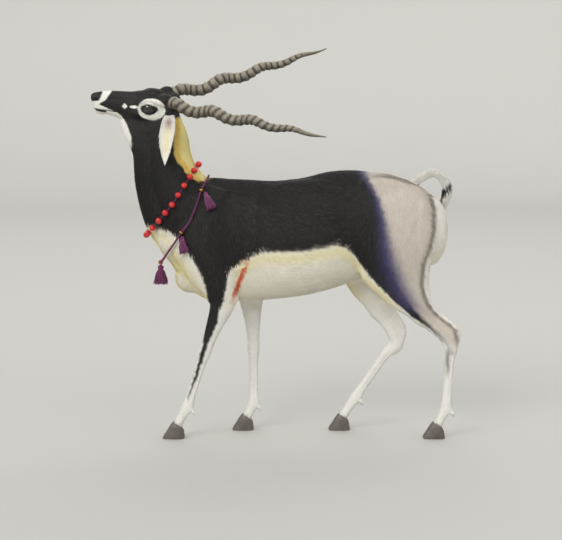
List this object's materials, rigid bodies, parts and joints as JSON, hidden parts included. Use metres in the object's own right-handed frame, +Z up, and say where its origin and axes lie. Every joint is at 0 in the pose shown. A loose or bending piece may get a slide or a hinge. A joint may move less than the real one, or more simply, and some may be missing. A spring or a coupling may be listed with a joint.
{
  "type": "standing male blackbuck",
  "caption": "Life-size standing blackbuck with ringed corkscrew horns, a black and white coat, a red bead string and a tasselled purple collar.",
  "frame": {"origin": "on the floor under the middle of the buck's box, soles at Z = 0", "axes": "+Z up, the buck faces -X with its tail towards +X, and its left side is towards -Y"},
  "size_m": [1.1358, 0.5648, 1.1971],
  "materials": {
    "coat_black": "short black-brown hair lying flat",
    "coat_grey": "short grey-beige hair lying flat",
    "coat_white": "short white hair",
    "horn": "ringed grey-brown horn, satin",
    "hoof": "grey-brown horn, satin",
    "eye": "wet dark brown",
    "bead": "polished red beads",
    "cord": "twisted purple thread",
    "brass": "polished brass"
  },
  "bodies": {
    "root": {"head": "coat_black", "neck": "coat_black", "torso": "coat_black", "tail": "coat_white", "ear_left": "coat_white", "ear_right": "coat_white", "eye_left": "eye", "eye_right": "eye", "horn_left": "horn", "horn_right": "horn", "foreleg_left_upper": "coat_black", "foreleg_left_lower": "coat_white", "hoof_foreleg_left_inner": "hoof", "hoof_foreleg_left_outer": "hoof", "foreleg_right_upper": "coat_white", "foreleg_right_lower": "coat_white", "hoof_foreleg_right_inner": "hoof", "hoof_foreleg_right_outer": "hoof", "hindleg_left_upper": "coat_grey", "hindleg_left_lower": "coat_white", "hoof_hindleg_left_inner": "hoof", "hoof_hindleg_left_outer": "hoof", "hindleg_right_upper": "coat_white", "hindleg_right_lower": "coat_white", "hoof_hindleg_right_inner": "hoof", "hoof_hindleg_right_outer": "hoof", "bead_string": "bead", "collar_cord": "cord", "ring_upper_left": "brass", "tassel_upper_left": "cord", "ring_upper_right": "brass", "tassel_upper_right": "cord", "ring_lower_left": "brass", "tassel_lower_left": "cord", "ring_lower_right": "brass", "tassel_lower_right": "cord", "ring_pendant": "brass", "pendant_tassel": "cord"}
  },
  "joints": []
}
